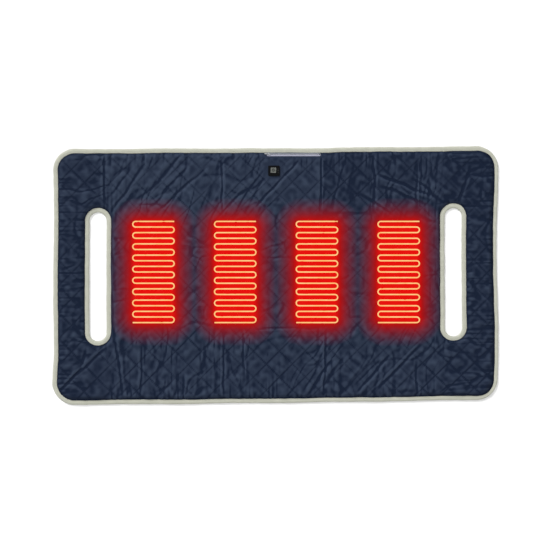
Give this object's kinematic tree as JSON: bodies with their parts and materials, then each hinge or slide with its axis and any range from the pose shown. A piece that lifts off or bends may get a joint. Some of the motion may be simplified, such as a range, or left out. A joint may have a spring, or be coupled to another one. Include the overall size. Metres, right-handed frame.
{
  "type": "infrared sauna blanket",
  "caption": "Quilted nylon heating blanket with glowing serpentine heaters, hand slots in both ends, a press-button controller and a zipped power pocket.",
  "frame": {"origin": "middle of the flat underside, on the surface the blanket lies on", "axes": "+X along the length, from the left hand slot to the right one; +Y towards the edge with the zipped pocket; +Z out of the quilted face"},
  "size_m": [1.5, 0.86, 0.0177],
  "materials": {
    "face_nylon": "semi-gloss quilted nylon taffeta, navy",
    "back_nylon": "plain navy nylon",
    "binding": "matt woven tape, warm light grey",
    "batting": "polyester wadding",
    "lining": "plain woven pocket lining",
    "carrier": "non-woven carrier cloth",
    "zip_tape": "woven zip tape with coil",
    "heating_wire": "glowing sleeved carbon-fibre heating wire",
    "lead": "insulated lead",
    "controller": "fine moulded black",
    "symbol": "inlaid symbol",
    "lens": "smoked translucent",
    "board": "solder mask",
    "crimp": "tinned",
    "zip_metal": "nickel plated"
  },
  "bodies": {
    "blanket": {"back_shell": "back_nylon", "batting": "batting", "front_shell": "face_nylon", "edge_binding": "binding", "left_slot_binding": "binding", "right_slot_binding": "binding", "feed_harness": "lead", "feed_lead": "lead", "thermal_cutout": "crimp", "return_harness": "lead", "pocket_bag": "lining", "pocket_padding": "batting", "power_inlet": "controller", "inlet_tongue": "zip_metal", "supply_lead": "controller", "zip_tape_lower": "zip_tape", "zip_tape_upper": "zip_tape", "zip_stop_left": "zip_metal", "zip_stop_right": "zip_metal", "controller_bezel": "controller", "level_light_guide": "lens", "controller_back_case": "controller", "circuit_board": "board", "tact_switch": "crimp", "case_screw_1": "crimp", "case_screw_2": "crimp", "heating_carrier_1": "carrier", "heating_carrier_2": "carrier", "heating_carrier_3": "carrier", "heating_carrier_4": "carrier", "heating_wire_1": "heating_wire", "heating_wire_2": "heating_wire", "heating_wire_3": "heating_wire", "heating_wire_4": "heating_wire", "feed_splice_1": "crimp", "feed_splice_2": "crimp", "feed_splice_3": "crimp", "feed_splice_4": "crimp", "return_splice_1": "crimp", "return_splice_2": "crimp", "return_splice_3": "crimp", "return_splice_4": "crimp"},
    "power_button": {"button_cap": "lens", "power_symbol": "symbol", "switch_plunger": "controller"},
    "zip_slider": {"zip_slider": "zip_metal"},
    "zip_pull": {"zip_pull": "zip_metal"}
  },
  "joints": [
    {"name": "button_press", "type": "slide", "parent": "blanket", "child": "power_button", "axis": [0, 0, -1], "range_m": [0, 0.0006], "stiffness_N_per_m": 400, "springref_m": -0.0005},
    {"name": "zip_slide", "type": "slide", "parent": "blanket", "child": "zip_slider", "axis": [1, 0, 0], "range_m": [0, 0.166]},
    {"name": "pull_swing", "type": "hinge", "parent": "zip_slider", "child": "zip_pull", "pos_m": [-0.0232, 0.41077, 0.01172], "axis": [0, 0.8192, -0.5736], "range_deg": [0, 165]}
  ]
}
